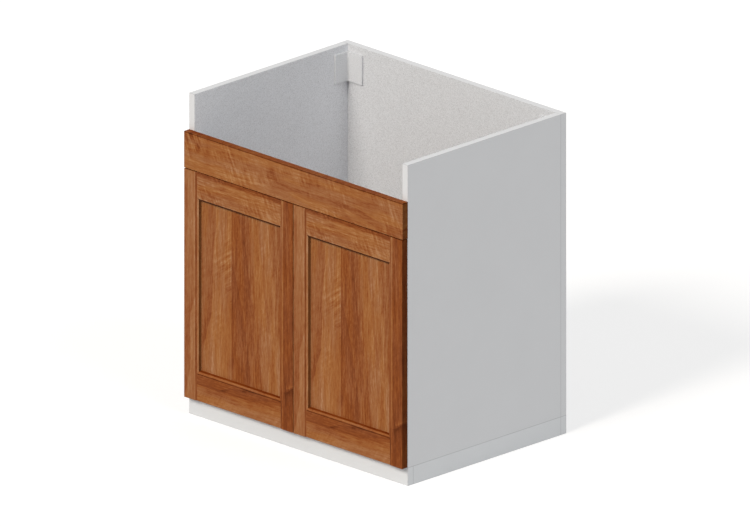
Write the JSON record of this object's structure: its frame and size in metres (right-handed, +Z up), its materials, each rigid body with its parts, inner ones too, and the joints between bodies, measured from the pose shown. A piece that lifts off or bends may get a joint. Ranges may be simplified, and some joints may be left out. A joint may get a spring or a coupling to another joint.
{
  "type": "sink base cabinet",
  "caption": "White board sink base cabinet on a plinth, with open top, low apron fascia and framed wooden doors on concealed hinges.",
  "frame": {"origin": "on the floor, under the middle of the whole cabinet with its doors closed", "axes": "+X to the right seen from the front, +Y from the doors to the back, +Z up"},
  "size_m": [0.8, 0.6, 0.88],
  "materials": {
    "white_board": "white melamine-faced board, satin",
    "door_wood": "reddish-brown wood grain, satin lacquer",
    "bracket": "white powder coat",
    "steel": "nickel-plated",
    "cam_metal": "zinc die-cast",
    "bumper": "clear soft bumper"
  },
  "bodies": {
    "carcass": {"side_panel_left": "white_board", "plinth_left": "white_board", "corner_bracket_left": "bracket", "cam_lock_left_front": "cam_metal", "cam_bolt_left_front": "steel", "cam_lock_left_back": "cam_metal", "cam_bolt_left_back": "steel", "hinge_plate_left_bottom": "steel", "hinge_arm_left_bottom": "steel", "hinge_screw_left_bottom": "steel", "hinge_plate_left_top": "steel", "hinge_arm_left_top": "steel", "hinge_screw_left_top": "steel", "side_panel_right": "white_board", "plinth_right": "white_board", "corner_bracket_right": "bracket", "cam_lock_right_front": "cam_metal", "cam_bolt_right_front": "steel", "cam_lock_right_back": "cam_metal", "cam_bolt_right_back": "steel", "hinge_plate_right_bottom": "steel", "hinge_arm_right_bottom": "steel", "hinge_screw_right_bottom": "steel", "hinge_plate_right_top": "steel", "hinge_arm_right_top": "steel", "hinge_screw_right_top": "steel", "bottom_panel": "white_board", "back_panel": "white_board", "front_rail": "white_board", "plinth_front": "white_board", "plinth_back": "white_board", "fascia": "door_wood"},
    "left_outer_links": {"hinge_outer_link_left_bottom": "steel", "hinge_outer_link_left_top": "steel"},
    "left_inner_links": {"hinge_inner_link_left_bottom": "steel", "hinge_inner_link_left_top": "steel"},
    "left_door": {"left_door_hinge_stile": "door_wood", "left_door_middle_stile": "door_wood", "left_door_top_rail": "door_wood", "left_door_bottom_rail": "door_wood", "left_door_panel": "door_wood", "left_door_bumper_bottom": "bumper", "left_door_bumper_top": "bumper", "hinge_cup_left_bottom": "steel", "hinge_cup_left_top": "steel"},
    "right_outer_links": {"hinge_outer_link_right_bottom": "steel", "hinge_outer_link_right_top": "steel"},
    "right_inner_links": {"hinge_inner_link_right_bottom": "steel", "hinge_inner_link_right_top": "steel"},
    "right_door": {"right_door_hinge_stile": "door_wood", "right_door_middle_stile": "door_wood", "right_door_top_rail": "door_wood", "right_door_bottom_rail": "door_wood", "right_door_panel": "door_wood", "right_door_bumper_bottom": "bumper", "right_door_bumper_top": "bumper", "hinge_cup_right_bottom": "steel", "hinge_cup_right_top": "steel"}
  },
  "joints": [
    {"name": "left_outer_link_swing", "type": "hinge", "parent": "carcass", "child": "left_outer_links", "pos_m": [-0.35923, -0.26403, 0.3645], "axis": [0, 0, 1], "range_deg": [0, 29.5]},
    {"name": "left_inner_link_swing", "type": "hinge", "parent": "carcass", "child": "left_inner_links", "pos_m": [-0.35426, -0.27452, 0.3645], "axis": [0, 0, 1], "range_deg": [0, 21]},
    {"name": "left_door_swing", "type": "hinge", "parent": "left_outer_links", "child": "left_door", "pos_m": [-0.38899, -0.28351, 0.3645], "axis": [0, 0, -1], "range_deg": [0, 124.17]},
    {"name": "right_outer_link_swing", "type": "hinge", "parent": "carcass", "child": "right_outer_links", "pos_m": [0.35923, -0.26403, 0.3645], "axis": [0, 0, -1], "range_deg": [0, 29.5]},
    {"name": "right_inner_link_swing", "type": "hinge", "parent": "carcass", "child": "right_inner_links", "pos_m": [0.35426, -0.27452, 0.3645], "axis": [0, 0, -1], "range_deg": [0, 21]},
    {"name": "right_door_swing", "type": "hinge", "parent": "right_outer_links", "child": "right_door", "pos_m": [0.38899, -0.28351, 0.3645], "axis": [0, 0, 1], "range_deg": [0, 124.17]}
  ],
  "couplings": [
    {"joint": "left_outer_link_swing", "follows": "left_door_swing", "ratio": 0.23489},
    {"joint": "left_inner_link_swing", "follows": "left_door_swing", "ratio": 0.16679},
    {"joint": "right_outer_link_swing", "follows": "right_door_swing", "ratio": 0.23489},
    {"joint": "right_inner_link_swing", "follows": "right_door_swing", "ratio": 0.16679}
  ]
}
